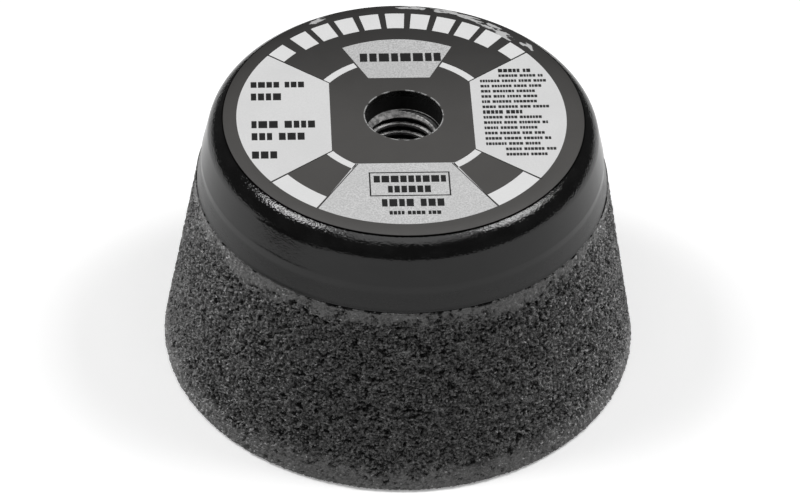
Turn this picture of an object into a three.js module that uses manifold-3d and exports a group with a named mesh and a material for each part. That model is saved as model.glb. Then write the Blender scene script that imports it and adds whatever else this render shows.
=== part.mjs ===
// Steel-backed flaring cup grinding stone for an angle grinder, 4 in rim, 5/8-11 spindle thread.
// Units are millimetres. +Z is the spindle axis and points to the grinder; the grinding face lies on z = 0.
import * as THREE from "three";
import { mergeVertices } from "three/addons/utils/BufferGeometryUtils.js";
import Module from "manifold-3d";

const wasm = await Module();
wasm.setup();

// Driving dimensions.
const SEGMENTS = 72; // facets round every turned piece
const CLEARANCE = 0.05; // between moulded pieces that touch
const OVERSHOOT = 1; // of a cutting or joining solid past the face it goes through
const HEIGHT = 59.8; // grinding face to label
const RIM_RADIUS = 51.1; // widest place, at the rim, nominally 4 in across
const RIM_WALL = 18.4; // width of the grinding face
const BODY_FLARE = THREE.MathUtils.degToRad(10.15); // the stone's side from the spindle axis
const EDGE_CHAMFER = 0.7; // broken edges of the grinding face

const CUP_FLOOR_Z = 41.6; // floor of the cavity
const FLOOR_FILLET = 4.5; // between the cavity's wall and its floor
const FILLET_STEPS = 4;
const CORE_Z = 47; // joint between the coarse stone and the fine-grit core

const SHELL_THICKNESS = 1.25; // drawn sheet steel
const SHELL_EDGE_Z = 43.4; // bottom edge of the skirt
const SHELL_FLARE = THREE.MathUtils.degToRad(11.3); // the skirt from the spindle axis
const SHELL_SET_BACK = 0.2; // of the skirt's bottom edge from the stone's side
const SHOULDER_RADIUS = 5.6; // outside radius of the shell's shoulder
const SHOULDER_STEPS = 10; // chords in the shoulder's arc

const LABEL_THICKNESS = 0.25;
const LABEL_WRAP_STEPS = 3; // chords of the shoulder that the label's edge is pressed down over
const BACK_HOLE_RADIUS = 8.1; // label and shell, round the spindle

const MESH_THICKNESS = 0.8; // glass-fibre mesh discs
const UPPER_MESH_RADIUS = 34;
const LOWER_MESH_RADIUS = 21.6;

const WASHER_THICKNESS = 2;
const WASHER_RADIUS = 17.5;
const WASHER_BREAK = 0.4; // broken edge of the washer

const BARREL_RADIUS = 11.7; // over the knurl
const KNURL_DEPTH = 0.7;
const KNURL_TEETH = 24;
const DISC_HOLE_RADIUS = BARREL_RADIUS + 0.3; // washer and mesh discs, round the knurl
const FLANGE_RADIUS = 14.6;
const FLANGE_THICKNESS = 3;
const FLANGE_BREAK = 0.5; // broken edge of the flange
const COLLAR_RADIUS = 10.8; // plain top end of the bushing
const COLLAR_LENGTH = 2.6;
const COUNTERBORE_RADIUS = 8.1; // clears the spindle's unthreaded shoulder
const COUNTERBORE_END_Z = 54.8;
const TAIL_CHAMFER = 1.2; // lead-in at the inner end of the thread

// 5/8-11 UNC: major and minor radius and pitch.
const THREAD_MAJOR = 7.94;
const THREAD_MINOR = 6.8;
const THREAD_PITCH = 25.4 / 11;
const THREAD_SEGMENTS = 36;
const THREAD_TURNS = 10; // longer than the bore, so that the cut runs out of both ends
const CREST_Z = 51.4; // middle of a thread crest, where it passes the +Y side of the bore
const CREST_TURNS = 8; // from the start of the cut up to that crest
// One pitch of the internal thread, as [share of the pitch, radius]: crest flat, flank, root flat.
const THREAD_FORM = [
  [0, THREAD_MINOR],
  [0.25, THREAD_MINOR],
  [0.5625, THREAD_MAJOR],
  [0.6875, THREAD_MAJOR],
];

// Derived levels, from the back down.
const shellTopZ = HEIGHT - LABEL_THICKNESS - CLEARANCE;
const bushingTopZ = shellTopZ - SHELL_THICKNESS - CLEARANCE;
const coreTopZ = bushingTopZ - MESH_THICKNESS - CLEARANCE;
const lowerMeshTopZ = CUP_FLOOR_Z - CLEARANCE;
const washerTopZ = lowerMeshTopZ - MESH_THICKNESS - CLEARANCE;
const flangeTopZ = washerTopZ - WASHER_THICKNESS - CLEARANCE;
const flangeBottomZ = flangeTopZ - FLANGE_THICKNESS;

// Radius of the stone's outer and inner walls at a height.
const outerWall = (z) => RIM_RADIUS - (z - EDGE_CHAMFER) * Math.tan(BODY_FLARE);
const innerWall = (z) => outerWall(z) - RIM_WALL;

// A closed half-section of [radius, z] points, turned about Z. Points run anticlockwise seen with z up.
function turned(section) {
  const points = section.map(([r, z]) => new THREE.Vector2(r, z));
  points.push(points[0].clone());
  return new THREE.LatheGeometry(points, SEGMENTS).rotateX(Math.PI / 2);
}

// A three.js geometry as a manifold-3d solid.
function solidOf(geometry) {
  const bare = geometry.clone();
  bare.deleteAttribute("normal");
  bare.deleteAttribute("uv");
  const merged = mergeVertices(bare, 1e-4);
  return new wasm.Manifold(
    new wasm.Mesh({
      numProp: 3,
      vertProperties: merged.attributes.position.array,
      triVerts: new Uint32Array(merged.index.array),
    }),
  );
}

// A manifold-3d solid as a three.js geometry.
function geometryOf(solid) {
  const mesh = solid.getMesh();
  return new THREE.BufferGeometry()
    .setAttribute("position", new THREE.BufferAttribute(mesh.vertProperties, 3))
    .setIndex(new THREE.BufferAttribute(mesh.triVerts, 1));
}

// A straight-knurled bar from z0 to z1, grown all round by extra.
function knurledBar(z0, z1, extra = 0) {
  const shape = new THREE.Shape();
  for (let i = 0; i < 2 * KNURL_TEETH; i++) {
    const radius = BARREL_RADIUS + extra - (i % 2 ? KNURL_DEPTH : 0);
    const angle = (i * Math.PI) / KNURL_TEETH;
    const point = [radius * Math.cos(angle), radius * Math.sin(angle)];
    if (i) shape.lineTo(...point);
    else shape.moveTo(...point);
  }
  shape.closePath();
  return new THREE.ExtrudeGeometry(shape, { depth: z1 - z0, bevelEnabled: false }).translate(0, 0, z0);
}

// Outside of the shell: a conical skirt, and a shoulder that is tangent to the skirt and to the flat top.
const skirtEdgeRadius = outerWall(SHELL_EDGE_Z) - SHELL_SET_BACK;
const skirtRadius = (z) => skirtEdgeRadius - (z - SHELL_EDGE_Z) * Math.tan(SHELL_FLARE);
const shoulderCentreZ = shellTopZ - SHOULDER_RADIUS;
const shoulderTangentZ = shoulderCentreZ + SHOULDER_RADIUS * Math.sin(SHELL_FLARE);
const shoulderCentreR = skirtRadius(shoulderTangentZ) - SHOULDER_RADIUS * Math.cos(SHELL_FLARE);

// Points of the shoulder's arc from the flat top down towards the skirt, moved inwards by inset.
function shoulder(inset, steps = SHOULDER_STEPS) {
  const radius = SHOULDER_RADIUS - inset;
  const points = [];
  for (let i = 0; i <= steps; i++) {
    const angle = Math.PI / 2 - (i * (Math.PI / 2 - SHELL_FLARE)) / SHOULDER_STEPS;
    points.push([shoulderCentreR + radius * Math.cos(angle), shoulderCentreZ + radius * Math.sin(angle)]);
  }
  return points;
}

// Printed label, glued to the flat back and pressed down over the start of the shoulder.
function labelDisc() {
  const under = shoulder(-CLEARANCE, LABEL_WRAP_STEPS);
  const over = shoulder(-CLEARANCE - LABEL_THICKNESS, LABEL_WRAP_STEPS).reverse();
  return turned([
    [BACK_HOLE_RADIUS, shellTopZ + CLEARANCE],
    ...under,
    ...over,
    [BACK_HOLE_RADIUS, HEIGHT],
  ]);
}

// Drawn steel shell over the back and the top of the side.
function backShell() {
  return turned([
    [BACK_HOLE_RADIUS, shellTopZ - SHELL_THICKNESS],
    ...shoulder(SHELL_THICKNESS),
    [skirtEdgeRadius - SHELL_THICKNESS / Math.cos(SHELL_FLARE), SHELL_EDGE_Z],
    [skirtEdgeRadius, SHELL_EDGE_Z],
    ...shoulder(0).reverse(),
    [BACK_HOLE_RADIUS, shellTopZ],
  ]);
}

// Radius of the moulded back where it fits inside the skirt.
const spigotRadius = (z) => skirtRadius(z) - (SHELL_THICKNESS + CLEARANCE) / Math.cos(SHELL_FLARE);

// Coarse silicon-carbide stone: the flaring cup itself.
function abrasiveCup() {
  const filletStart = CUP_FLOOR_Z - FLOOR_FILLET;
  const floorEdge = innerWall(filletStart) - FLOOR_FILLET;
  const fillet = [];
  for (let i = 0; i <= FILLET_STEPS; i++) {
    const angle = (i * Math.PI) / 2 / FILLET_STEPS;
    fillet.push([floorEdge + FLOOR_FILLET * Math.cos(angle), filletStart + FLOOR_FILLET * Math.sin(angle)]);
  }
  const shoulderZ = SHELL_EDGE_Z - CLEARANCE;
  const cup = turned([
    [0, CUP_FLOOR_Z],
    ...fillet.reverse(),
    [innerWall(EDGE_CHAMFER), EDGE_CHAMFER],
    [innerWall(0) + EDGE_CHAMFER, 0],
    [RIM_RADIUS - EDGE_CHAMFER, 0],
    [outerWall(EDGE_CHAMFER), EDGE_CHAMFER],
    [outerWall(shoulderZ), shoulderZ],
    [spigotRadius(shoulderZ), shoulderZ],
    [spigotRadius(CORE_Z), CORE_Z],
    [0, CORE_Z],
  ]);
  const bore = knurledBar(CUP_FLOOR_Z - OVERSHOOT, CORE_Z + OVERSHOOT, CLEARANCE);
  return geometryOf(solidOf(cup).subtract(solidOf(bore)));
}

// Fine-grit, resin-rich core that backs the stone and fills the shell.
function hubCore() {
  const bottom = CORE_Z + CLEARANCE;
  const recess = UPPER_MESH_RADIUS + CLEARANCE;
  const core = turned([
    [0, bottom],
    [spigotRadius(bottom), bottom],
    ...shoulder(SHELL_THICKNESS + CLEARANCE).reverse(),
    [recess, bushingTopZ],
    [recess, coreTopZ],
    [0, coreTopZ],
  ]);
  const bore = knurledBar(bottom - OVERSHOOT, coreTopZ + OVERSHOOT, CLEARANCE);
  return geometryOf(solidOf(core).subtract(solidOf(bore)));
}

// Disc of resin-soaked glass-fibre mesh round the bushing, with its upper face at top.
function meshDisc(radius, top) {
  return turned([
    [DISC_HOLE_RADIUS, top - MESH_THICKNESS],
    [radius, top - MESH_THICKNESS],
    [radius, top],
    [DISC_HOLE_RADIUS, top],
  ]);
}

// Steel washer that spreads the flange's load over the floor of the cup.
function flangeWasher() {
  const bottom = washerTopZ - WASHER_THICKNESS;
  return turned([
    [DISC_HOLE_RADIUS, bottom],
    [WASHER_RADIUS - WASHER_BREAK, bottom],
    [WASHER_RADIUS, bottom + WASHER_BREAK],
    [WASHER_RADIUS, washerTopZ],
    [DISC_HOLE_RADIUS, washerTopZ],
  ]);
}

// The right-hand male thread that the bushing's bore is cut with. Rows follow the helix, so that crests and
// roots stay sharp; each end is closed by a fan from a point on the axis, a pitch beyond the last row.
function threadCutter(z0, turns) {
  const rows = THREAD_FORM.length * turns;
  const perTurn = THREAD_FORM.length;
  const positions = [];
  for (let i = 0; i < THREAD_SEGMENTS; i++) {
    const angle = (2 * Math.PI * i) / THREAD_SEGMENTS;
    for (let j = 0; j < rows; j++) {
      const [share, radius] = THREAD_FORM[j % perTurn];
      const z = z0 + THREAD_PITCH * (Math.floor(j / perTurn) + share + i / THREAD_SEGMENTS);
      positions.push(radius * Math.cos(angle), radius * Math.sin(angle), z);
    }
  }
  const at = (i, j) => (i < THREAD_SEGMENTS ? i * rows + j : j + perTurn);
  const triangles = [];
  for (let i = 0; i < THREAD_SEGMENTS; i++) {
    const last = i === THREAD_SEGMENTS - 1 ? rows - 1 - perTurn : rows - 1;
    for (let j = 0; j < last; j++) {
      triangles.push(at(i, j), at(i + 1, j), at(i + 1, j + 1));
      triangles.push(at(i, j), at(i + 1, j + 1), at(i, j + 1));
    }
  }
  const bottomLoop = [];
  const topLoop = [];
  for (let i = 0; i < THREAD_SEGMENTS; i++) {
    bottomLoop.push(at(i, 0));
    topLoop.push(at(i, rows - 1));
  }
  for (let j = perTurn; j > 0; j--) bottomLoop.push(at(0, j));
  for (let j = 1; j <= perTurn; j++) topLoop.push(at(THREAD_SEGMENTS - 1, rows - 1 - j));
  const fan = (loop, z, up) => {
    const tip = positions.length / 3;
    positions.push(0, 0, z);
    loop.forEach((a, k) => {
      const b = loop[(k + 1) % loop.length];
      triangles.push(...(up ? [a, b, tip] : [b, a, tip]));
    });
  };
  fan(bottomLoop, z0 - THREAD_PITCH, false);
  fan(topLoop, z0 + THREAD_PITCH * (turns + 2), true);
  return new THREE.BufferGeometry()
    .setAttribute("position", new THREE.Float32BufferAttribute(positions, 3))
    .setIndex(triangles);
}

// Threaded steel bushing: flange inside the cup, knurled barrel moulded into the back.
function threadedBushing() {
  const collarZ = bushingTopZ - COLLAR_LENGTH;
  const flange = turned([
    [0, flangeBottomZ],
    [FLANGE_RADIUS - FLANGE_BREAK, flangeBottomZ],
    [FLANGE_RADIUS, flangeBottomZ + FLANGE_BREAK],
    [FLANGE_RADIUS, flangeTopZ],
    [0, flangeTopZ],
  ]);
  const collar = turned([
    [0, collarZ - OVERSHOOT],
    [COLLAR_RADIUS, collarZ - OVERSHOOT],
    [COLLAR_RADIUS, bushingTopZ],
    [0, bushingTopZ],
  ]);
  const chamferDepth = COUNTERBORE_RADIUS - THREAD_MINOR;
  const counterbore = turned([
    [0, COUNTERBORE_END_Z - chamferDepth],
    [THREAD_MINOR, COUNTERBORE_END_Z - chamferDepth],
    [COUNTERBORE_RADIUS, COUNTERBORE_END_Z],
    [COUNTERBORE_RADIUS, bushingTopZ + OVERSHOOT],
    [0, bushingTopZ + OVERSHOOT],
  ]);
  const tail = turned([
    [0, flangeBottomZ - OVERSHOOT],
    [THREAD_MINOR + TAIL_CHAMFER + OVERSHOOT, flangeBottomZ - OVERSHOOT],
    [THREAD_MINOR, flangeBottomZ + TAIL_CHAMFER],
    [0, flangeBottomZ + TAIL_CHAMFER],
  ]);
  const crestShare = THREAD_FORM[1][0] / 2 + 1 / 4; // half the crest flat, and the quarter turn to +Y
  const cutter = threadCutter(CREST_Z - THREAD_PITCH * (CREST_TURNS + crestShare), THREAD_TURNS);
  const blank = solidOf(flange)
    .add(solidOf(knurledBar(flangeTopZ - OVERSHOOT, collarZ)))
    .add(solidOf(collar));
  return geometryOf(blank.subtract(solidOf(cutter)).subtract(solidOf(counterbore)).subtract(solidOf(tail)));
}

const finish = {
  label: new THREE.MeshStandardMaterial({ color: 0x46443f, roughness: 0.55, metalness: 0.1 }),
  shell: new THREE.MeshStandardMaterial({ color: 0x141414, roughness: 0.35, metalness: 0.2 }),
  abrasive: new THREE.MeshStandardMaterial({ color: 0x2c2c2c, roughness: 0.85, metalness: 0.0 }),
  core: new THREE.MeshStandardMaterial({ color: 0x262524, roughness: 0.9, metalness: 0.0 }),
  mesh: new THREE.MeshStandardMaterial({ color: 0x8b8568, roughness: 0.7, metalness: 0.0 }),
  steel: new THREE.MeshStandardMaterial({ color: 0x8a8a88, roughness: 0.35, metalness: 0.9 }),
};

const pieces = [
  ["label_disc", labelDisc(), finish.label],
  ["back_shell", backShell(), finish.shell],
  ["upper_mesh_disc", meshDisc(UPPER_MESH_RADIUS, bushingTopZ), finish.mesh],
  ["hub_core", hubCore(), finish.core],
  ["abrasive_cup", abrasiveCup(), finish.abrasive],
  ["lower_mesh_disc", meshDisc(LOWER_MESH_RADIUS, lowerMeshTopZ), finish.mesh],
  ["flange_washer", flangeWasher(), finish.steel],
  ["threaded_bushing", threadedBushing(), finish.steel],
];

const cupStone = new THREE.Group();
for (const [name, geometry, material] of pieces) {
  const mesh = new THREE.Mesh(geometry, material);
  mesh.name = name;
  cupStone.add(mesh);
}

export default cupStone;
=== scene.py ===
"""Looks of a steel-backed flaring cup grinding stone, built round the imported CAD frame.

Lengths are metres. MM turns a length in millimetres into metres. The spindle axis is +Z.
"""

import math
import random

import bpy
import numpy as np
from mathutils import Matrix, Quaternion, Vector, noise


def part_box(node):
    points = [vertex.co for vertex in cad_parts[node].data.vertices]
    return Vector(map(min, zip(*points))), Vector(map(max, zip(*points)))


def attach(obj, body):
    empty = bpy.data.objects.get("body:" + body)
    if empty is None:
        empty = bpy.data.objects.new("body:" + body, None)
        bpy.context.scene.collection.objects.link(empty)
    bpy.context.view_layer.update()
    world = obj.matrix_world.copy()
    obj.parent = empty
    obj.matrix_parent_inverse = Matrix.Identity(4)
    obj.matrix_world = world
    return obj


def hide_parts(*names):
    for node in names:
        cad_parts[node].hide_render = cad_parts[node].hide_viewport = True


MM = 0.001

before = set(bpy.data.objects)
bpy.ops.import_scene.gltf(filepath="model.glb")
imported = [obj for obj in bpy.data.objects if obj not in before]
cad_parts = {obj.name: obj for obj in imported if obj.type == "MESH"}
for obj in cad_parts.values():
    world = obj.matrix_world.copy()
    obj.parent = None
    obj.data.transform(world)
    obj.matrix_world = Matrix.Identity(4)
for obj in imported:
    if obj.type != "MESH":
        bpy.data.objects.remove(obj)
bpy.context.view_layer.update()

# ---------------------------------------------------------------- sizes, from the CAD frame

_, stone_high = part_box("abrasive_cup")
shell_low, shell_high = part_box("back_shell")
_, label_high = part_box("label_disc")
bushing_low, bushing_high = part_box("threaded_bushing")
washer_low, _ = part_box("flange_washer")
_, mesh_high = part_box("lower_mesh_disc")

# The CAD pieces are 72-sided, so a round piece of the same radius stays in their box.
RIM_RADIUS = stone_high.x
SKIRT_EDGE_RADIUS = shell_high.x
SKIRT_EDGE_Z = shell_low.z
SHELL_TOP_Z = shell_high.z
LABEL_TOP_Z = label_high.z
LABEL_RADIUS = label_high.x
CORE_JOINT_Z = stone_high.z
CUP_FLOOR_Z = mesh_high.z

# The same driving sizes as the CAD source.
STONE_FLARE = math.radians(10.15)
RIM_EDGE = 0.7 * MM
SHELL_FLARE = math.radians(11.3)
RIM_WALL = 18.4 * MM
FLOOR_FILLET = 4.5 * MM
SHELL_THICKNESS = 1.25 * MM
SHOULDER_RADIUS = 5.6 * MM
BACK_HOLE_RADIUS = 8.1 * MM
BORE_RADIUS = 11.8 * MM
BARREL_RADIUS = 11.35 * MM  # halfway down the knurl, which is sealed in and left plain here
COLLAR_RADIUS = 10.8 * MM
COLLAR_LENGTH = 2.6 * MM
GAP = 0.05 * MM

THREAD_MAJOR = 7.94 * MM
THREAD_MINOR = 6.8 * MM
THREAD_PITCH = 25.4 / 11 * MM
COUNTERBORE_END_Z = LABEL_TOP_Z - 5.0 * MM
CREST_Z = LABEL_TOP_Z - 8.4 * MM
LEAD_IN = 1.3 * MM  # chamfer from the counterbore into the thread
TAIL_CHAMFER = 1.2 * MM

PRINT_THICKNESS = 0.02 * MM


def outer_wall(z):
    """Radius of the stone's side at a height."""
    return RIM_RADIUS - (z - RIM_EDGE) * math.tan(STONE_FLARE)


def inner_wall(z):
    """Radius of the cup's wall at a height."""
    return outer_wall(z) - RIM_WALL


def skirt(z):
    """Radius of the shell's skirt at a height."""
    return SKIRT_EDGE_RADIUS - (z - SKIRT_EDGE_Z) * math.tan(SHELL_FLARE)


shoulder_z = SHELL_TOP_Z - SHOULDER_RADIUS
tangent_z = shoulder_z + SHOULDER_RADIUS * math.sin(SHELL_FLARE)
shoulder_r = skirt(tangent_z) - SHOULDER_RADIUS * math.cos(SHELL_FLARE)

# ---------------------------------------------------------------- mesh helpers


def line(start, end, step):
    """Points from start up to but not including end, no further apart than step."""
    count = max(1, math.ceil(math.dist(start, end) / step))
    return [tuple(np.array(start) + (np.array(end) - np.array(start)) * i / count) for i in range(count)]


def arc(centre, radius, start, end, count):
    """Points on an arc, angles in radians, both ends included."""
    angles = np.linspace(start, end, count)
    return [(centre[0] + radius * math.cos(a), centre[1] + radius * math.sin(a)) for a in angles]


def piece(name, points, faces, material, stands_for=(), sharp=40):
    """A named mesh object that rides on the root body."""
    mesh = bpy.data.meshes.new(name)
    mesh.from_pydata(np.asarray(points).reshape(-1, 3), [], faces)
    mesh.polygons.foreach_set("use_smooth", [True] * len(mesh.polygons))
    mesh.set_sharp_from_angle(angle=math.radians(sharp))
    mesh.materials.append(material)
    made = bpy.data.objects.new(name, mesh)
    bpy.context.scene.collection.objects.link(made)
    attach(made, "root")
    if stands_for:
        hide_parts(*stands_for)
    return made


def turned(section, columns):
    """Points, shaped (rows, columns, 3), and quads of a closed (radius, z) section turned about Z."""
    section = np.array(section)
    angle = np.arange(columns) * 2 * math.pi / columns
    points = np.empty((len(section), columns, 3))
    points[..., 0] = section[:, :1] * np.cos(angle)
    points[..., 1] = section[:, :1] * np.sin(angle)
    points[..., 2] = section[:, 1:]
    index = np.arange(len(section) * columns).reshape(len(section), columns)
    above = np.roll(index, -1, axis=0)
    quads = np.stack([index, np.roll(index, -1, axis=1), np.roll(above, -1, axis=1), above], axis=-1)
    return points, quads.reshape(-1, 4)


def section_normals(section):
    """Outward (radial, z) normals of a closed section that runs anticlockwise with z up."""
    section = np.array(section)
    along = np.roll(section, -1, axis=0) - np.roll(section, 1, axis=0)
    out = np.stack([along[:, 1], -along[:, 0]], axis=-1)
    return out / np.linalg.norm(out, axis=1, keepdims=True)


def add_values(made, name, values):
    """Stores one number per vertex, for the material to read."""
    made.data.attributes.new(name, "FLOAT", "POINT").data.foreach_set("value", np.ravel(values))


def smoothstep(low, high, value):
    t = np.clip((value - low) / (high - low), 0, 1)
    return t * t * (3 - 2 * t)


def sampled(function, points, size):
    """A mathutils noise function at every point, with features about size across."""
    flat = (points / size).reshape(-1, 3)
    return np.array([function(Vector(p)) for p in flat]).reshape(points.shape[:-1])


# Far enough apart to make three unlike noises. noise.noise_vector isn't used: it changes from run to run.
SHAKE_SHIFTS = (0, 31.7, 67.3)


def grains(points, size):
    """Ragged grains about size across and a little flatter than wide, as three numbers per point.

    They are the height on a tilted facet, as a share of size; the depth in a joint, from 0 inside a grain
    to 1 at its edge; and the grain's own number, from 0 to 1.
    """

    def at(point):
        wobble = 1.7 * point
        point += 0.4 * Vector([noise.noise(wobble + Vector((0, 0, shift))) for shift in SHAKE_SHIFTS])
        distances, seeds = noise.voronoi(point)
        own = noise.cell_vector(seeds[0])
        return (own * 2 - Vector((1, 1, 1))).dot(point - seeds[0]), distances[1] - distances[0], own.x

    flattened = points / size * np.array([1, 1, 1.5])
    facet, apart, number = np.array([at(Vector(p)) for p in flattened.reshape(-1, 3)]).T
    shape = points.shape[:-1]
    return facet.reshape(shape), 1 - smoothstep(0.0, 0.32, apart).reshape(shape), number.reshape(shape)


# ---------------------------------------------------------------- material helpers


class Shading:
    """One material's node tree, with short ways to add nodes. A value given as a socket is linked."""

    def __init__(self, name):
        self.material = bpy.data.materials.new(name)
        self.material.use_nodes = True
        self.tree = self.material.node_tree
        self.shader = self.tree.nodes["Principled BSDF"]
        self.place = self.add("ShaderNodeTexCoord").outputs["Object"]

    def add(self, kind, inputs=(), **settings):
        made = self.tree.nodes.new(kind)
        for key, value in settings.items():
            setattr(made, key, value)
        for key, value in dict(inputs).items():
            self.feed(made.inputs[key], value)
        return made

    def feed(self, socket, value):
        if isinstance(value, bpy.types.NodeSocket):
            self.tree.links.new(value, socket)
        else:
            socket.default_value = value

    def set(self, **inputs):
        """Sets the shader's sockets; an underscore in a name stands for a space."""
        for key, value in inputs.items():
            self.feed(self.shader.inputs[key.replace("_", " ")], value)
        return self

    def math(self, operation, a, b=0.0, clamp=False):
        return self.add("ShaderNodeMath", {0: a, 1: b}, operation=operation, use_clamp=clamp).outputs[0]

    def remap(self, value, low, high, to_low=0.0, to_high=1.0):
        """value from low..high to to_low..to_high, held at the ends, with smooth ends."""
        inputs = {"Value": value, 1: low, 2: high, 3: to_low, 4: to_high}
        return self.add("ShaderNodeMapRange", inputs, interpolation_type="SMOOTHSTEP").outputs[0]

    def stretched(self, x=1.0, y=1.0, z=1.0):
        """The object's place with each axis multiplied."""
        return self.add("ShaderNodeMapping", {"Vector": self.place, "Scale": (x, y, z)}).outputs[0]

    def noise(self, size, detail=3.0, roughness=0.55, place=None):
        """Noise from 0 to 1 with features about size across."""
        inputs = {
            "Vector": self.place if place is None else place,
            "Scale": 1 / size,
            "Detail": detail,
            "Roughness": roughness,
        }
        return self.add("ShaderNodeTexNoise", inputs).outputs["Fac"]

    def cells(self, size, place=None):
        """Voronoi cells about size across; its outputs are Distance, Color and Position."""
        inputs = {"Vector": self.place if place is None else place, "Scale": 1 / size}
        return self.add("ShaderNodeTexVoronoi", inputs).outputs

    def vectors(self, operation, a, b):
        return self.add("ShaderNodeVectorMath", {0: a, 1: b}, operation=operation).outputs

    def ragged_place(self, size):
        """The object's place, pressed flatter and shaken, so that cells about size across come out ragged."""
        flat = self.stretched(1, 1, 1.5)
        shake = self.add("ShaderNodeTexNoise", {"Vector": self.place, "Scale": 1.5 / size, "Detail": 1.0})
        centred = self.vectors("SUBTRACT", shake.outputs["Color"], (0.5, 0.5, 0.5))[0]
        return self.vectors("ADD", flat, self.vectors("MULTIPLY", centred, (size, size, size))[0])[0]

    def facets(self, size, slope, strength=1.0, below=None):
        """Flat facets about size across, each leaning its own way."""
        place = self.ragged_place(size)
        cells = self.cells(size, place)
        lean = self.vectors("SUBTRACT", cells["Color"], (0.5, 0.5, 0.5))[0]
        away = self.vectors("SUBTRACT", place, cells["Position"])[0]
        return self.bump(self.vectors("DOT_PRODUCT", lean, away)["Value"], slope, strength, below)

    def value(self, name):
        """A number stored on the mesh by add_values."""
        return self.add("ShaderNodeAttribute", attribute_name=name).outputs["Fac"]

    def mix(self, share, a, b):
        """Colour a where share is 0 and b where it is 1."""
        made = self.add("ShaderNodeMix", data_type="RGBA")
        self.feed(made.inputs[0], share)
        self.feed(made.inputs[6], a)
        self.feed(made.inputs[7], b)
        return made.outputs[2]

    def radius_and_angle(self):
        """Distance from the spindle axis, and angle round it from -pi to pi."""
        xyz = self.add("ShaderNodeSeparateXYZ", {0: self.place}).outputs
        x_squared = self.math("MULTIPLY", xyz[0], xyz[0])
        y_squared = self.math("MULTIPLY", xyz[1], xyz[1])
        squares = self.math("ADD", x_squared, y_squared)
        return self.math("SQRT", squares), self.math("ARCTAN2", xyz[1], xyz[0])

    def height(self):
        return self.add("ShaderNodeSeparateXYZ", {0: self.place}).outputs[2]

    def bump(self, value, distance, strength=1.0, below=None):
        """Bumps as high as distance where value is 1, on top of those in below."""
        inputs = {"Height": value, "Distance": distance, "Strength": strength}
        if below is not None:
            inputs["Normal"] = below
        return self.add("ShaderNodeBump", inputs).outputs[0]


def grey(value, warmth=0.0):
    return (value * (1 + warmth), value, value * (1 - warmth), 1.0)


def abrasive_material():
    """Coarse resin-bonded silicon carbide: dark facets, painted shade in the joints and pits, a few painted
    glints.
    """
    s = Shading("abrasive")
    crevice_shade = s.value("crevice_shade")
    calm = s.value("calm")
    chip = s.cells(0.5 * MM, s.ragged_place(0.5 * MM))
    chip_tone = s.add("ShaderNodeSeparateColor", {0: chip["Color"]}).outputs
    tone = s.mix(s.remap(s.noise(7 * MM, 3), 0.3, 0.7), grey(0.116, 0.01), grey(0.166, 0.01))
    tone = s.mix(calm, tone, grey(0.075, 0.01))
    tone = s.mix(s.math("MULTIPLY", chip_tone[0], s.remap(calm, 0, 1, 0.9, 0.3)), tone, grey(0.020))
    specks = s.remap(s.noise(0.34 * MM, 1, 0.5), 0.46, 0.34)
    tone = s.mix(s.math("MULTIPLY", specks, s.remap(calm, 0, 1, 1.0, 0.2)), tone, grey(0.003))
    # painted shade: near black in pits and grain joints, and a painted shadow line in the gap under the
    # shell's edge
    tone = s.mix(s.remap(crevice_shade, 0.25, 1.0), tone, grey(0.004))
    # painted glints: a few tiny cells turned pale grey, kept out of the painted shade
    glint_cells = s.add("ShaderNodeSeparateColor", {0: s.cells(0.24 * MM)["Color"]}).outputs
    painted_glint = s.math("MULTIPLY", s.remap(glint_cells[1], 0.992, 0.995), s.remap(crevice_shade, 0.3, 0.1))
    tone = s.mix(painted_glint, tone, grey(0.3))
    strength = s.remap(calm, 0, 1, 1.0, 0.4)
    fine = s.bump(s.noise(0.45 * MM, 1, 0.5), 0.25 * MM, strength)
    facets = s.facets(0.6 * MM, 2.2, strength, fine)
    rough = s.remap(chip_tone[2], 0, 1, 0.3, 0.5)
    gloss = s.remap(crevice_shade, 0.2, 0.7, 0.7, 0.05)
    return s.set(Base_Color=tone, Roughness=rough, Specular_IOR_Level=gloss, Normal=facets).material


def paint_material():
    """Glossy black paint with orange peel on the shoulder and faint draw marks down the skirt."""
    s = Shading("shell_paint")
    angle = s.radius_and_angle()[1]
    height = s.height()
    along = s.math("MULTIPLY", angle, 9.0)
    down = s.math("MULTIPLY", height, 60.0)
    drawn = s.add("ShaderNodeCombineXYZ", {0: along, 1: down}).outputs[0]
    streaks = s.add("ShaderNodeTexNoise", {"Vector": drawn, "Scale": 5.0, "Detail": 5.0}).outputs["Fac"]
    shoulder = s.remap(height, SHELL_TOP_Z - 5.5 * MM, SHELL_TOP_Z - 2 * MM)
    waves = s.bump(s.noise(1.6 * MM, 2, 0.5), 0.08 * MM, s.remap(shoulder, 0, 1, 0.1, 0.5))
    peel = s.bump(s.noise(0.38 * MM, 1, 0.5), 0.1 * MM, s.remap(shoulder, 0, 1, 0.06, 0.65), waves)
    skirt_zone = s.remap(height, SKIRT_EDGE_Z + 7.5 * MM, SKIRT_EDGE_Z + 3 * MM)
    marks = s.bump(streaks, 0.03 * MM, s.remap(skirt_zone, 0, 1, 0.0, 0.3), peel)
    cloud = s.remap(s.noise(6 * MM, 5, 0.6, s.stretched(1, 1, 2.2)), 0.4, 0.7)
    tone = s.mix(cloud, grey(0.004), grey(0.008))
    dulled = s.math("ADD", s.math("MULTIPLY", skirt_zone, 0.18), s.math("MULTIPLY", cloud, 0.06))
    rough = s.remap(dulled, 0, 0.3, 0.07, 0.34)
    return s.set(Base_Color=tone, Roughness=rough, Normal=marks).material


SCUFF_HALF_WIDTH = 0.9 * MM
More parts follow.
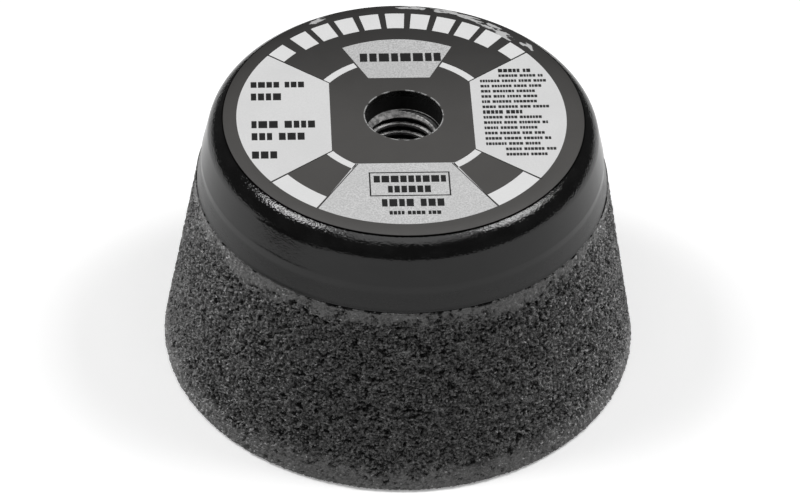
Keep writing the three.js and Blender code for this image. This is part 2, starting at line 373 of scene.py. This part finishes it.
# Rubbed places on the label's outer edge: angle round the spindle in degrees, radius, half length.
SCUFFS = (
    (118, 36.7 * MM, 2.0 * MM),
    (84, 36.9 * MM, 3.5 * MM),
    (73, 36.7 * MM, 3.5 * MM),
    (64, 36.3 * MM, 3.5 * MM),
    (57, 35.6 * MM, 3.5 * MM),
    (50, 34.9 * MM, 3.0 * MM),
    (39.5, 35.4 * MM, 1.8 * MM),
)


def edge_scuffs(s, radius, angle):
    """Share of bare white, in broken patches along the edge of the label and the shoulder."""
    zone = 0.0
    for degrees, middle, reach in SCUFFS:
        along = s.math("MULTIPLY", s.math("SUBTRACT", angle, math.radians(degrees)), middle / reach)
        across = s.math("MULTIPLY", s.math("SUBTRACT", radius, middle), 1 / SCUFF_HALF_WIDTH)
        square = s.math("ADD", s.math("MULTIPLY", along, along), s.math("MULTIPLY", across, across))
        zone = s.math("MAXIMUM", zone, s.remap(square, 1.6, 0.1))
    along = s.math("MULTIPLY", angle, 14.0)
    outward = s.math("MULTIPLY", radius, 1 / MM)
    flow = s.add("ShaderNodeCombineXYZ", {0: along, 1: outward}).outputs[0]
    patches = s.add("ShaderNodeTexNoise", {"Vector": flow, "Scale": 1.0, "Detail": 4.0}).outputs["Fac"]
    torn = s.remap(s.math("ADD", patches, s.math("MULTIPLY", zone, 0.2)), 0.6, 0.66)
    return s.math("MULTIPLY", torn, s.remap(zone, 0.0, 0.1))


def label_material():
    """Dark grey satin print on thin foil, with painted shade darker to the back and a painted shadow line
    round the outer edge, worn pale at the hole and the outer edge.
    """
    s = Shading("label_print")
    radius, angle = s.radius_and_angle()
    hole_wear = s.math(
        "MULTIPLY",
        s.remap(radius, BACK_HOLE_RADIUS + 0.35 * MM, BACK_HOLE_RADIUS + 0.05 * MM),
        s.remap(s.noise(1.5 * MM, 4), 0.42, 0.55),
    )
    y = s.add("ShaderNodeSeparateXYZ", {0: s.place}).outputs[1]
    # painted shade: the label is darkened towards the back
    painted_back_shade = s.remap(y, -8 * MM, 34 * MM)
    tone = s.mix(s.noise(14 * MM, 3), grey(0.055, 0.04), grey(0.070, 0.04))
    tone = s.mix(painted_back_shade, tone, grey(0.022, 0.04))
    # painted shadow: a thin near-black line without sheen round the label's outer edge
    painted_edge_shadow = s.remap(radius, LABEL_RADIUS - 0.3 * MM, LABEL_RADIUS - 0.2 * MM)
    tone = s.mix(painted_edge_shadow, tone, grey(0.002))
    gloss = s.remap(painted_edge_shadow, 0, 1, 0.5, 0.0)
    tone = s.mix(hole_wear, tone, grey(0.4))
    tone = s.mix(edge_scuffs(s, radius, angle), tone, grey(0.5))
    rough = s.remap(s.noise(5 * MM, 4), 0.3, 0.7, 0.6, 0.7)
    grainy = s.bump(s.noise(0.25 * MM, 2), 0.004 * MM, 0.5)
    return s.set(Base_Color=tone, Roughness=rough, Specular_IOR_Level=gloss, Normal=grainy).material


def ink_material(name, tone, speckle, rough):
    """Printed ink with fine speckle."""
    s = Shading(name)
    specks = s.remap(s.noise(0.35 * MM, 3, 0.7), 0.35, 0.65)
    cloud = s.remap(s.noise(11 * MM, 3), 0.35, 0.65, 0.0, 0.5)
    colour = s.mix(specks, grey(tone * (1 - speckle)), grey(tone * (1 + speckle)))
    colour = s.mix(cloud, colour, grey(tone * 0.94))
    return s.set(Base_Color=colour, Roughness=rough).material


def bushing_material():
    """Turned steel: bright on crests and chamfer, with painted shade in the thread roots and on the
    counterbore wall.
    """
    s = Shading("bushing_steel")
    mottling = s.remap(s.noise(0.9 * MM, 5, 0.75), 0.38, 0.6, 0.35, 1.0)
    # painted shade: dark, less metallic steel where the mesh value is low
    unshaded = s.math("MULTIPLY", s.remap(s.value("unshaded"), 0.3, 0.8), mottling)
    tone = s.mix(unshaded, grey(0.012), grey(0.42, 0.01))
    lathe = s.bump(s.noise(0.12 * MM, 2, place=s.stretched(0.15, 0.15, 1.0)), 0.02 * MM, 0.6)
    rough = s.remap(s.noise(0.9 * MM, 4), 0.3, 0.7, 0.4, 0.6)
    metal = s.remap(unshaded, 0, 1, 0.3, 1.0)
    return s.set(Base_Color=tone, Metallic=metal, Roughness=rough, Normal=lathe).material


def washer_material():
    """Plain stamped steel with faint rings and stains."""
    s = Shading("washer_steel")
    radius, _ = s.radius_and_angle()
    outward = s.add("ShaderNodeCombineXYZ", {0: radius}).outputs[0]
    rings = s.noise(0.4 * MM, 2.0, 0.5, outward)
    stain = s.remap(s.noise(4 * MM, 5, 0.65), 0.4, 0.7)
    tone = s.mix(stain, grey(0.5, 0.01), grey(0.3, 0.06))
    rough = s.remap(stain, 0, 1, 0.3, 0.55)
    ringed = s.bump(rings, 0.015 * MM, 0.6)
    return s.set(Base_Color=tone, Metallic=1.0, Roughness=rough, Normal=ringed).material


def weave_material():
    """Glass-fibre mesh soaked in dark resin, as a plain weave of strands."""
    s = Shading("glass_mesh")
    xyz = s.add("ShaderNodeSeparateXYZ", {0: s.place}).outputs
    period = 2 * math.pi / (2.4 * MM)
    across = s.math("SINE", s.math("MULTIPLY", xyz[0], period))
    along = s.math("SINE", s.math("MULTIPLY", xyz[1], period))
    strand = s.math("MAXIMUM", s.remap(across, 0.0, 0.9), s.remap(along, 0.0, 0.9))
    fibres = s.remap(s.noise(0.2 * MM, 3), 0.3, 0.7)
    tone = s.mix(fibres, grey(0.16, 0.12), grey(0.3, 0.14))
    tone = s.mix(strand, grey(0.02), tone)
    return s.set(Base_Color=tone, Roughness=0.5, Normal=s.bump(strand, 0.3 * MM)).material


def core_material():
    """Fine-grit, resin-rich core."""
    s = Shading("fine_core")
    grain = s.remap(s.noise(0.3 * MM, 4, 0.7), 0.3, 0.7)
    tone = s.mix(grain, grey(0.015), grey(0.05))
    return s.set(Base_Color=tone, Roughness=0.8, Normal=s.bump(grain, 0.15 * MM)).material


# ---------------------------------------------------------------- the stone

STONE_COLUMNS = 1280
WALL_STEP = 0.26 * MM
GRAIN = 0.9 * MM
INSIDE_STEP = 0.45 * MM
HIDDEN_STEP = 6 * MM
OUTSIDE_RADIUS = 35 * MM  # beyond it lies the outside of the stone, and the outer part of the grinding face


def stone_section():
    """Closed section of the stone, anticlockwise: up the side, in under the shell, down the cup."""
    edge = RIM_EDGE
    ledge_z = SKIRT_EDGE_Z - GAP
    spigot = skirt(ledge_z) - SHELL_THICKNESS / math.cos(SHELL_FLARE) - GAP
    spigot_top = skirt(CORE_JOINT_Z) - SHELL_THICKNESS / math.cos(SHELL_FLARE) - GAP
    fillet_z = CUP_FLOOR_Z - FLOOR_FILLET
    fillet_r = inner_wall(fillet_z) - FLOOR_FILLET
    fillet = arc((fillet_r, fillet_z), FLOOR_FILLET, math.pi / 2, 0, 8)
    return [
        *line((RIM_RADIUS - edge, 0), (RIM_RADIUS, edge), WALL_STEP),
        *line((RIM_RADIUS, edge), (outer_wall(ledge_z), ledge_z), WALL_STEP),
        *line((outer_wall(ledge_z), ledge_z), (spigot, ledge_z), HIDDEN_STEP),
        *line((spigot, ledge_z), (spigot_top, CORE_JOINT_Z), HIDDEN_STEP),
        *line((spigot_top, CORE_JOINT_Z), (BORE_RADIUS, CORE_JOINT_Z), HIDDEN_STEP),
        *line((BORE_RADIUS, CORE_JOINT_Z), (BORE_RADIUS, CUP_FLOOR_Z), HIDDEN_STEP),
        *line((BORE_RADIUS, CUP_FLOOR_Z), fillet[0], INSIDE_STEP),
        *fillet[:-1],
        *line(fillet[-1], (inner_wall(edge), edge), INSIDE_STEP),
        *line((inner_wall(edge), edge), (inner_wall(0) + edge, 0), WALL_STEP),
        *line((inner_wall(0) + edge, 0), (RIM_RADIUS - edge, 0), INSIDE_STEP),
    ]


def stone():
    """The coarse stone, with its grains and pits as real relief, always into the CAD shape."""
    section = stone_section()
    points, quads = turned(section, STONE_COLUMNS)
    normals = section_normals(section)
    radius, z = np.array(section).T
    hidden = (z > SKIRT_EDGE_Z - 0.2 * MM) | ((radius < BORE_RADIUS + 0.5 * MM) & (z > CUP_FLOOR_Z - 1 * MM))
    outside = (radius > OUTSIDE_RADIUS)[:, None]
    coarse = sampled(noise.noise, points + 7 * MM, 5 * MM)
    hollows = sampled(lambda p: noise.fractal(p, 0.7, 2.1, 3), points, 1.6 * MM)
    facet, joint, number = grains(points, GRAIN)
    below_shell = SKIRT_EDGE_Z - z[:, None] + 2.5 * MM * coarse + 1.8 * MM * hollows
    above_rim = z[:, None] + 2.5 * MM * coarse + 2.5 * MM * hollows
    calm_under_shell = 1 - smoothstep(0.3 * MM, 5 * MM, below_shell)
    calm_at_rim = 0.75 * (1 - smoothstep(2 * MM, 8 * MM, above_rim))
    calm = np.maximum(calm_under_shell, calm_at_rim) * outside
    rough = 1 - 0.65 * calm
    pits = np.maximum(smoothstep(0.55, 1.0, hollows + 0.2 * coarse), smoothstep(0.9, 0.98, number)) * rough
    at_shell = smoothstep(0.6 * MM, 0.2 * MM, SKIRT_EDGE_Z - z)[:, None]
    ragged = at_shell * smoothstep(0.15, 0.4, hollows + coarse)
    relief = 0.04 + rough * (0.14 + 0.6 * facet * GRAIN / MM + 0.08 * number + 0.34 * joint) + 0.3 * pits
    relief = np.clip(relief + 0.3 * ragged * outside, 0, 1)
    relief *= np.where(hidden, 0, 1)[:, None] * MM
    inward = relief * normals[:, :1] / np.maximum(radius, MM)[:, None]
    points[..., :2] -= inward[..., None] * points[..., :2]
    points[..., 2] -= relief * normals[:, 1:]
    made = piece("stone_body", points, quads, abrasive_material(), ["abrasive_cup"], 80)
    # Painted shade for the material: pits, sunk grain joints, and the painted shadow in the gap at the
    # shell's edge.
    add_values(made, "crevice_shade", np.clip(0.8 * pits + 0.7 * rough * joint + ragged, 0, 1))
    add_values(made, "calm", calm)
    return made


# ---------------------------------------------------------------- the shell and the label


def shell():
    """Drawn steel shell with a rolled shoulder and a faint step round the skirt."""
    step_z = SKIRT_EDGE_Z + 0.52 * (shoulder_z - SKIRT_EDGE_Z)
    step_end_z = step_z + 1.6 * MM
    proud = 0.1 * MM
    inside = SHOULDER_RADIUS - SHELL_THICKNESS
    wall = SHELL_THICKNESS / math.cos(SHELL_FLARE)
    lip = 0.2 * MM
    lip_end = (skirt(SKIRT_EDGE_Z + 2 * lip), SKIRT_EDGE_Z + 2 * lip)
    step_start = (skirt(step_z) + proud / 2, step_z + 0.5 * MM)
    section = [
        (BACK_HOLE_RADIUS, SHELL_TOP_Z - SHELL_THICKNESS),
        *arc((shoulder_r, shoulder_z), inside, math.pi / 2, SHELL_FLARE, 24),
        (SKIRT_EDGE_RADIUS - wall, SKIRT_EDGE_Z + lip),
        (SKIRT_EDGE_RADIUS - wall + lip / 2, SKIRT_EDGE_Z),
        (SKIRT_EDGE_RADIUS - lip, SKIRT_EDGE_Z),
        *arc((SKIRT_EDGE_RADIUS - lip, SKIRT_EDGE_Z + lip), lip, -math.pi / 2, 0, 6)[1:],
        *line(lip_end, (skirt(step_z) - proud / 2, step_z), 0.7 * MM),
        *line(step_start, (skirt(step_end_z) + proud, step_end_z), 0.3 * MM),
        *arc((shoulder_r, shoulder_z), SHOULDER_RADIUS, SHELL_FLARE, math.pi / 2, 40),
        *line((shoulder_r - 0.5 * MM, SHELL_TOP_Z), (BACK_HOLE_RADIUS, SHELL_TOP_Z), 4 * MM),
        (BACK_HOLE_RADIUS, SHELL_TOP_Z),
    ]
    points, quads = turned(section, 360)
    return piece("painted_shell", points, quads, paint_material(), ["back_shell"])


def label():
    """The label's dark ground, pressed down over the start of the shoulder."""
    wrap = math.acos((LABEL_RADIUS - shoulder_r) / (SHOULDER_RADIUS + 0.3 * MM))
    under = arc((shoulder_r, shoulder_z), SHOULDER_RADIUS + GAP, math.pi / 2, wrap, 12)
    thickness = LABEL_TOP_Z - 2 * PRINT_THICKNESS - SHELL_TOP_Z
    over = arc((shoulder_r, shoulder_z), SHOULDER_RADIUS + thickness, wrap, math.pi / 2, 12)
    top = SHELL_TOP_Z + thickness
    section = [
        (BACK_HOLE_RADIUS, SHELL_TOP_Z + GAP),
        *under,
        *over,
        *line((shoulder_r - 0.5 * MM, top), (BACK_HOLE_RADIUS, top), 3 * MM),
        (BACK_HOLE_RADIUS, top),
    ]
    points, quads = turned(section, 360)
    return piece("label_ground", points, quads, label_material(), ["label_disc"])


# ---------------------------------------------------------------- the label's print

PRINT_CENTRE = Vector((-0.46 * MM, -0.28 * MM))
PRINT_RADIUS = 34.3 * MM
SIDE_PANEL_HALF_ANGLE = math.radians(37)
SIDE_PANEL_CHORD = 14.8 * MM
FRONT_PANEL_SIDE = math.radians(58)
FRONT_PANEL_HALF_ANGLE = math.radians(31.9)
FRONT_PANEL_HALF_CHORD, FRONT_PANEL_Y = 10.1 * MM, -15.3 * MM
BACK_PANEL_HALF_ANGLE, BACK_PANEL_RADIUS = math.radians(26.8), 25.7 * MM
BACK_PANEL_HALF_CHORD, BACK_PANEL_Y = 6.45 * MM, 12.6 * MM
BLOCK_INNER = 30.3 * MM
ARC_INNER, ARC_OUTER = 18.4 * MM, 20.0 * MM


def printed(name, outlines, material, layer=0):
    """One thin ink layer on the label. An outline is a simple polygon, anticlockwise, round PRINT_CENTRE."""
    points = []
    faces = []
    bottom = LABEL_TOP_Z - (2 - layer) * PRINT_THICKNESS
    for outline in outlines:
        start = len(points)
        count = len(outline)
        for z in (bottom, bottom + PRINT_THICKNESS):
            points += [(x + PRINT_CENTRE.x, y + PRINT_CENTRE.y, z) for x, y in outline]
        low = list(range(start, start + count))
        high = [i + count for i in low]
        faces += [low[::-1], high]
        faces += [(low[i], low[(i + 1) % count], high[(i + 1) % count], high[i]) for i in range(count)]
    return piece(name, points, faces, material)


def block(inner, outer, start, end):
    """A piece of a ring between two radii and two angles."""
    count = max(3, math.ceil((end - start) / math.radians(2)))
    return [*arc((0, 0), outer, start, end, count), *arc((0, 0), inner, end, start, count)]


def side_panel(side):
    """Panel to the right of the hole where side is 1, and to the left where it is -1."""
    rim = arc((0, 0), PRINT_RADIUS, -SIDE_PANEL_HALF_ANGLE, SIDE_PANEL_HALF_ANGLE, 48)
    inner_y = SIDE_PANEL_CHORD * math.tan(SIDE_PANEL_HALF_ANGLE)
    outline = [(SIDE_PANEL_CHORD, -inner_y), *rim, (SIDE_PANEL_CHORD, inner_y)]
    return [(x * side, y * side) for x, y in outline]


def front_panel():
    middle = -math.pi / 2
    start, end = middle - FRONT_PANEL_HALF_ANGLE, middle + FRONT_PANEL_HALF_ANGLE
    rim = arc((0, 0), PRINT_RADIUS, start, end, 40)
    return [(FRONT_PANEL_HALF_CHORD, FRONT_PANEL_Y), (-FRONT_PANEL_HALF_CHORD, FRONT_PANEL_Y), *rim]


def back_panel():
    middle = math.pi / 2
    start, end = middle - BACK_PANEL_HALF_ANGLE, middle + BACK_PANEL_HALF_ANGLE
    rim = arc((0, 0), BACK_PANEL_RADIUS, start, end, 32)
    return [(-BACK_PANEL_HALF_CHORD, BACK_PANEL_Y), (BACK_PANEL_HALF_CHORD, BACK_PANEL_Y), *rim]


def bar(x, y, width, height):
    """Rectangle with its left edge at x and its middle at y."""
    right, low, high = x + width, y - height / 2, y + height / 2
    return [(x, low), (right, low), (right, high), (x, high)]


def frame_outline(x, y, width, height, thickness):
    """Rectangular frame, as four bars that meet at the corners."""
    return [
        bar(x, y - (height - thickness) / 2, width, thickness),
        bar(x, y + (height - thickness) / 2, width, thickness),
        bar(x, y, thickness, height - 2 * thickness),
        bar(x + width - thickness, y, thickness, height - 2 * thickness),
    ]


def words(draw, x, y, width, height, shortest, longest):
    """A line of small blocks in place of text: words of shortest to longest, cut into letter widths."""
    outlines = []
    gap = 0.16 * height
    place = x
    while place < x + width - shortest / 2:
        end = min(place + draw.uniform(shortest, longest), x + width)
        while place < end:
            letter = draw.uniform(0.45, 0.8) * height
            outlines.append(bar(place, y, letter, height))
            place += letter + gap
        place += 0.45 * height
    return outlines


def radial_line(angle, start, end, thickness=0.18 * MM):
    """Thin line from the centre outwards, as a rectangle."""
    along = np.array([math.cos(angle), math.sin(angle)])
    side = np.array([-along[1], along[0]]) * thickness / 2
    near, far = along * start, along * end
    return [tuple(corner) for corner in (near - side, far - side, far + side, near + side)]


def title_band():
    """Equal wedges along the back of the label, in place of a title."""
    count = 9
    start, end = math.radians(48), math.radians(132)
    pitch = (end - start) / count
    margin = 0.13 * pitch
    inner, outer = 29.6 * MM, 34.7 * MM
    starts = [start + i * pitch for i in range(count)]
    return [block(inner, outer, first + margin, first + pitch - margin) for first in starts]


# Lines on the left panel, in millimetres: middle, width, height.
LEFT_LINES = (
    (10.7, 10.4, 1.9),
    (6.7, 8.0, 2.3),
    (-2.4, 12.2, 2.3),
    (-6.3, 11.2, 2.3),
    (-12.2, 6.4, 2.3),
)


def text_bars(draw):
    """Plain bars in place of the label's text, by panel."""
    left = []
    for y, width, height in LEFT_LINES:
        left += words(draw, -31.2 * MM, y * MM, width * MM, height * MM, 4 * MM, 6 * MM)
    right = []
    top, pitch, margin = 14.6 * MM, 1.72 * MM, 17.0 * MM
    count = 17
    headings = (0, 8)
    indented = (0, 1, count - 2, count - 1)
    for i in range(count):
        y = top - i * pitch
        reach = math.sqrt((PRINT_RADIUS - 1.5 * MM) ** 2 - y**2)
        heading = i in headings
        indent = 4 * MM if i in indented else 0
        height = (1.15 if heading else 0.85) * MM
        width = min(draw.uniform(11.5, 13.5) * MM, reach - margin - indent) * (0.75 if heading else 1)
        right += words(draw, margin + indent, y, width, height, 1.4 * MM, 4.4 * MM)
    front = frame_outline(-7.55 * MM, -21.9 * MM, 16.5 * MM, 7.5 * MM, 0.3 * MM)
    front += words(draw, -6.6 * MM, -20.3 * MM, 14.6 * MM, 2.1 * MM, 14 * MM, 15 * MM)
    front += words(draw, -3.8 * MM, -23.5 * MM, 9.0 * MM, 2.1 * MM, 8.5 * MM, 9 * MM)
    front += words(draw, -5.2 * MM, -27.7 * MM, 13.0 * MM, 2.3 * MM, 4 * MM, 7 * MM)
    front += words(draw, -3.8 * MM, -30.8 * MM, 10.4 * MM, 1.1 * MM, 1.6 * MM, 4 * MM)
    back = words(draw, -8.0 * MM, 19.5 * MM, 16.0 * MM, 2.8 * MM, 15.5 * MM, 16 * MM)
    return left + right + front + back


def label_print():
    """All ink on the label: panels, white blocks, separators, and plain wedges and bars in place of text."""
    draw = random.Random(11)
    silver = ink_material("ink_silver_light", 0.70, 0.03, 0.6)
    speckled = ink_material("ink_silver", 0.575, 0.2, 0.55)
    speckled_back = ink_material("ink_silver_dark", 0.53, 0.25, 0.55)
    white = ink_material("ink_white", 0.76, 0.02, 0.6)
    dark = ink_material("ink_dark", 0.012, 0.1, 0.5)
    black = ink_material("ink_black", 0.006, 0.1, 0.45)

    printed("print_side_panels", [side_panel(1), side_panel(-1)], silver)
    printed("print_front_panel", [front_panel()], speckled)
    printed("print_back_panel", [back_panel()], speckled_back)

    gap = math.radians(0.5)
    low, front, back = SIDE_PANEL_HALF_ANGLE + gap, FRONT_PANEL_SIDE - gap, math.radians(62)
    quarters = [
        (low, back),
        (math.pi - back, math.pi - low),
        (-front, -low),
        (math.pi + low, math.pi + front),
    ]
    arcs = [block(ARC_INNER, ARC_OUTER, start, end) for start, end in quarters]
    blocks = [block(BLOCK_INNER, PRINT_RADIUS, start, end) for start, end in quarters[2:]]
    band_end = math.radians(45)
    blocks += [
        block(BLOCK_INNER, PRINT_RADIUS, low, band_end),
        block(BLOCK_INNER, PRINT_RADIUS, math.pi - band_end, math.pi - low),
    ]
    printed("print_white_blocks", arcs + blocks, white)
    printed("print_title_band", title_band(), white)
    printed("print_text_bars", text_bars(draw), dark, 1)

    side, front_side = SIDE_PANEL_HALF_ANGLE, FRONT_PANEL_SIDE
    around_sides = (side, -side, math.pi - side, side - math.pi)
    around_front = (-front_side, front_side - math.pi)
    lines = [radial_line(angle, ARC_INNER, PRINT_RADIUS + 0.4 * MM) for angle in around_sides]
    lines += [radial_line(angle, ARC_INNER - 0.2 * MM, PRINT_RADIUS) for angle in around_front]
    printed("print_separators", lines, black, 1)


# ---------------------------------------------------------------- steel inside


def bushing():
    """Threaded steel bushing: a flange in the cup, a barrel with a collar, and a helical thread."""
    columns = 192
    flange_z = bushing_low.z
    flange_top = washer_low.z - GAP
    flange_radius = bushing_high.x
    top = bushing_high.z
    edge = 0.5 * MM
    thread_rows = 230
    thread_z = np.linspace(COUNTERBORE_END_Z, flange_z, thread_rows)
    section = [
        *line((THREAD_MINOR + TAIL_CHAMFER, flange_z), (flange_radius - edge, flange_z), 1.5 * MM),
        (flange_radius - edge, flange_z),
        (flange_radius, flange_z + edge),
        (flange_radius, flange_top),
        (BARREL_RADIUS, flange_top),
        (BARREL_RADIUS, top - COLLAR_LENGTH),
        (COLLAR_RADIUS, top - COLLAR_LENGTH),
        (COLLAR_RADIUS, top),
        (BACK_HOLE_RADIUS, top),
        *[(THREAD_MINOR, z) for z in thread_z],
    ]
    points, quads = turned(section, columns)
    angle = np.arange(columns) * 2 * math.pi / columns
    z = thread_z[:, None]
    turns = (z - CREST_Z) / THREAD_PITCH - angle[None, :] / (2 * math.pi) + 0.25
    flank = 2 * np.abs(turns - np.round(turns))
    radius = THREAD_MINOR + (THREAD_MAJOR - THREAD_MINOR) * smoothstep(0.22, 0.8, flank)
    lead_in = THREAD_MINOR + (z - (COUNTERBORE_END_Z - LEAD_IN))
    tail = THREAD_MINOR + (flange_z + TAIL_CHAMFER - z)
    cut = np.minimum(np.maximum(np.maximum(radius, lead_in), tail), BACK_HOLE_RADIUS)
    rows = slice(len(section) - thread_rows, len(section))
    points[rows, :, 0] = cut * np.cos(angle)
    points[rows, :, 1] = cut * np.sin(angle)
    made = piece("bushing_body", points, quads, bushing_material(), ["threaded_bushing"])
    # Painted shade: 0 in the thread roots and on the counterbore wall, 1 on crests, the lead-in chamfer and
    # elsewhere.
    unshaded = np.ones(points.shape[:2])
    unshaded[rows] = 1 - smoothstep(THREAD_MINOR + 0.3 * MM, THREAD_MINOR + 0.75 * MM, radius)
    lead = (lead_in >= radius) & (cut < BACK_HOLE_RADIUS - 0.01 * MM)
    unshaded[rows] = np.where(lead, 1.0, unshaded[rows])
    unshaded[rows.start - 1] = 0
    unshaded[rows.start] = 0
    add_values(made, "unshaded", unshaded)
    return made


def camera():
    """A long lens 41 degrees above the floor, rolled a little."""
    azimuth = math.radians(-3.6)
    elevation = math.radians(41.42)
    distance = 753.3 * MM
    target = Vector((0, 0, 22.3 * MM))
    level = math.cos(elevation)
    back = Vector((math.sin(azimuth) * level, -math.cos(azimuth) * level, math.sin(elevation)))
    data = bpy.data.cameras.new("camera")
    data.lens = 157.8
    data.sensor_width = 36
    data.clip_start = 0.05
    made = bpy.data.objects.new("camera", data)
    made.location = target + back * distance
    made.rotation_mode = "QUATERNION"
    made.rotation_quaternion = (-back).to_track_quat("-Z", "Y") @ Quaternion((0, 0, 1), math.radians(1.6))
    bpy.context.scene.collection.objects.link(made)
    bpy.context.scene.camera = made


def softbox(name, place, size, power, aim=Vector((0, 0, 0.03))):
    """Rectangular area light that faces the stone."""
    data = bpy.data.lights.new(name, "AREA")
    data.shape = "RECTANGLE"
    data.size, data.size_y = size
    data.energy = power
    made = bpy.data.objects.new(name, data)
    made.location = place
    made.rotation_mode = "QUATERNION"
    made.rotation_quaternion = (aim - Vector(place)).to_track_quat("-Z", "Y")
    bpy.context.scene.collection.objects.link(made)
    return made


# Low lights at the sides and the front that only the stone receives: name, place, power.
LOW_LIGHTS = (
    ("left", (-0.95, 0.5, 0.3), 10.8),
    ("right", (0.95, 0.5, 0.3), 10.8),
    ("front", (0, -0.9, 0.3), 2.4),
)


def flag():
    """Black card on the table, low at the left front. It shows only in reflections, as a wider dark band."""
    near, far = Vector((-168 * MM, -30 * MM)), Vector((-150 * MM, -200 * MM))
    out = Vector((-1, -0.4)).normalized() * 400 * MM
    above_table = 1 * MM
    corners = [near, near + out, far + out, far]
    mesh = bpy.data.meshes.new("flag")
    mesh.from_pydata([(p.x, p.y, above_table) for p in corners], [], [(0, 1, 2, 3)])
    made = bpy.data.objects.new("flag", mesh)
    bpy.context.scene.collection.objects.link(made)
    mesh.materials.append(Shading("flag").set(Base_Color=grey(0.01), Roughness=1.0).material)
    made.visible_camera = False
    made.visible_diffuse = False
    made.visible_shadow = False


def studio(stone_body):
    """Pale round table, soft lights high at the sides and overhead, low lights on the stone, a dim room."""
    radius = 0.46
    rim = arc((0, 0), radius, 0, 2 * math.pi, 129)[:-1]
    mesh = bpy.data.meshes.new("floor")
    mesh.from_pydata([(x, y, 0) for x, y in rim], [], [list(range(len(rim)))])
    floor = bpy.data.objects.new("floor", mesh)
    bpy.context.scene.collection.objects.link(floor)
    s = Shading("floor")
    seen = s.math("MULTIPLY", s.add("ShaderNodeLightPath").outputs["Is Camera Ray"], 0.3)
    s.set(Base_Color=grey(0.9), Roughness=0.9, Emission_Color=grey(1.0), Emission_Strength=seen)
    mesh.materials.append(s.material)
    softbox("light_left", (-0.64, 0.04, 1.0), (0.36, 0.36), 5.4)
    softbox("light_right", (0.64, 0.04, 1.0), (0.36, 0.36), 5.4)
    softbox("light_overhead", (0, -0.2, 1.3), (1.0, 0.95), 4.7)
    only_stone = bpy.data.collections.new("only_stone")
    only_stone.objects.link(stone_body)
    for name, place, power in LOW_LIGHTS:
        low = softbox(f"light_low_{name}", place, (0.6, 0.4), power)
        low.light_linking.receiver_collection = only_stone
    flag()
    world = bpy.data.worlds.new("studio")
    world.use_nodes = True
    tree = world.node_tree
    seen = tree.nodes.new("ShaderNodeLightPath").outputs["Is Camera Ray"]
    strength = tree.nodes.new("ShaderNodeMapRange")
    room_light, seen_backdrop = 0.07, 0.95
    strength.inputs[3].default_value = room_light
    strength.inputs[4].default_value = seen_backdrop
    tree.links.new(seen, strength.inputs[0])
    tree.links.new(strength.outputs[0], tree.nodes["Background"].inputs["Strength"])
    tree.nodes["Background"].inputs["Color"].default_value = grey(1.0)
    bpy.context.scene.world = world
    bpy.context.scene.view_settings.view_transform = "Standard"


stone_body = stone()
shell()
label()
label_print()
bushing()
for node, material in (
    ("hub_core", core_material()),
    ("upper_mesh_disc", weave_material()),
    ("lower_mesh_disc", weave_material()),
    ("flange_washer", washer_material()),
):
    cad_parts[node].data.materials.clear()
    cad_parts[node].data.materials.append(material)
camera()
studio(stone_body)
